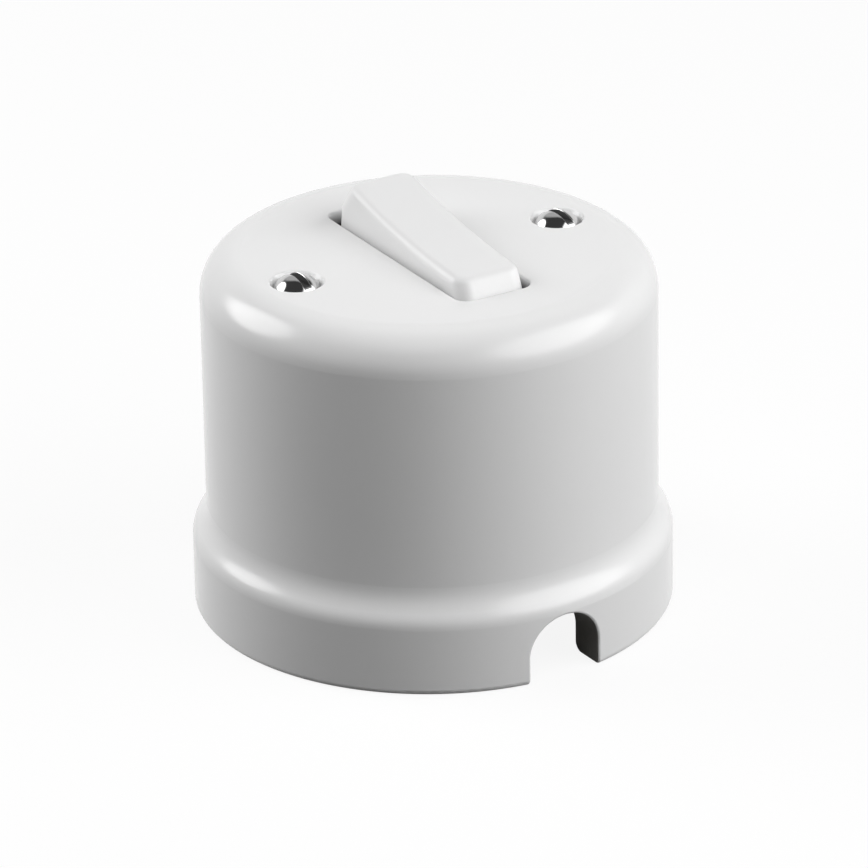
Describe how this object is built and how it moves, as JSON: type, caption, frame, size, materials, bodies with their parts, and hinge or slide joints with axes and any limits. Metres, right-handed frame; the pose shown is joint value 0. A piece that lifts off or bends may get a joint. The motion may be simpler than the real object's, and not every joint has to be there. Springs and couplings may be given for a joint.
{
  "type": "ceramic light switch",
  "caption": "Round surface-mounted porcelain light switch with a stepped plinth, a cable notch, slotted cover screws and a white rocker over a changeover contact mechanism.",
  "frame": {"origin": "centre of the wall face, on the axis of the round cover", "axes": "+Z out of the wall, -Y to the cable notch, +Y to the raised end of the rocker, X through the two cover screws"},
  "size_m": [0.07, 0.07, 0.0603],
  "materials": {
    "porcelain_glaze": "white gloss glaze",
    "porcelain_base": "white porcelain, unglazed back",
    "rocker_plastic": "white moulded gloss",
    "plated_screws": "bright plated",
    "brass": "bright stamped and turned",
    "zinc_steel": "zinc plated",
    "pin_steel": "ground steel",
    "spring_steel": "drawn spring wire",
    "silver_tips": "silver alloy",
    "frame_plastic": "dark moulded thermoset",
    "plunger_plastic": "natural moulded"
  },
  "bodies": {
    "housing": {"cover": "porcelain_glaze", "cover_screws": "plated_screws", "cover_pillars": "brass", "pillar_washers": "zinc_steel", "pillar_screws": "zinc_steel", "base": "porcelain_base", "mechanism_frame": "frame_plastic", "frame_inserts": "brass", "mechanism_screws": "zinc_steel", "rocker_pin": "pin_steel", "common_contact": "brass", "front_contact": "brass", "rear_contact": "brass", "fixed_contact_tips": "silver_tips", "terminal_clamps": "brass", "terminal_screws": "zinc_steel"},
    "rocker_body": {"rocker": "rocker_plastic", "plunger_spring": "spring_steel"},
    "plunger_body": {"plunger": "plunger_plastic"},
    "lever_body": {"contact_lever": "brass", "lever_contact_tips": "silver_tips"}
  },
  "joints": [
    {"name": "rocker_tilt", "type": "hinge", "parent": "housing", "child": "rocker_body", "pos_m": [0, 0, 0.0459], "axis": [-1, 0, 0], "range_deg": [0, 16]},
    {"name": "contact_tilt", "type": "hinge", "parent": "housing", "child": "lever_body", "pos_m": [0, 0, 0.02745], "axis": [1, 0, 0], "range_deg": [0, 17.25]},
    {"name": "plunger_slide", "type": "slide", "parent": "rocker_body", "child": "plunger_body", "axis": [0, -0.1392, 0.9903], "range_m": [0, 0.001], "stiffness_N_per_m": 800, "deforming": ["plunger_spring"]}
  ],
  "couplings": [
    {"joint": "contact_tilt", "follows": "rocker_tilt", "ratio": 1.0784}
  ]
}
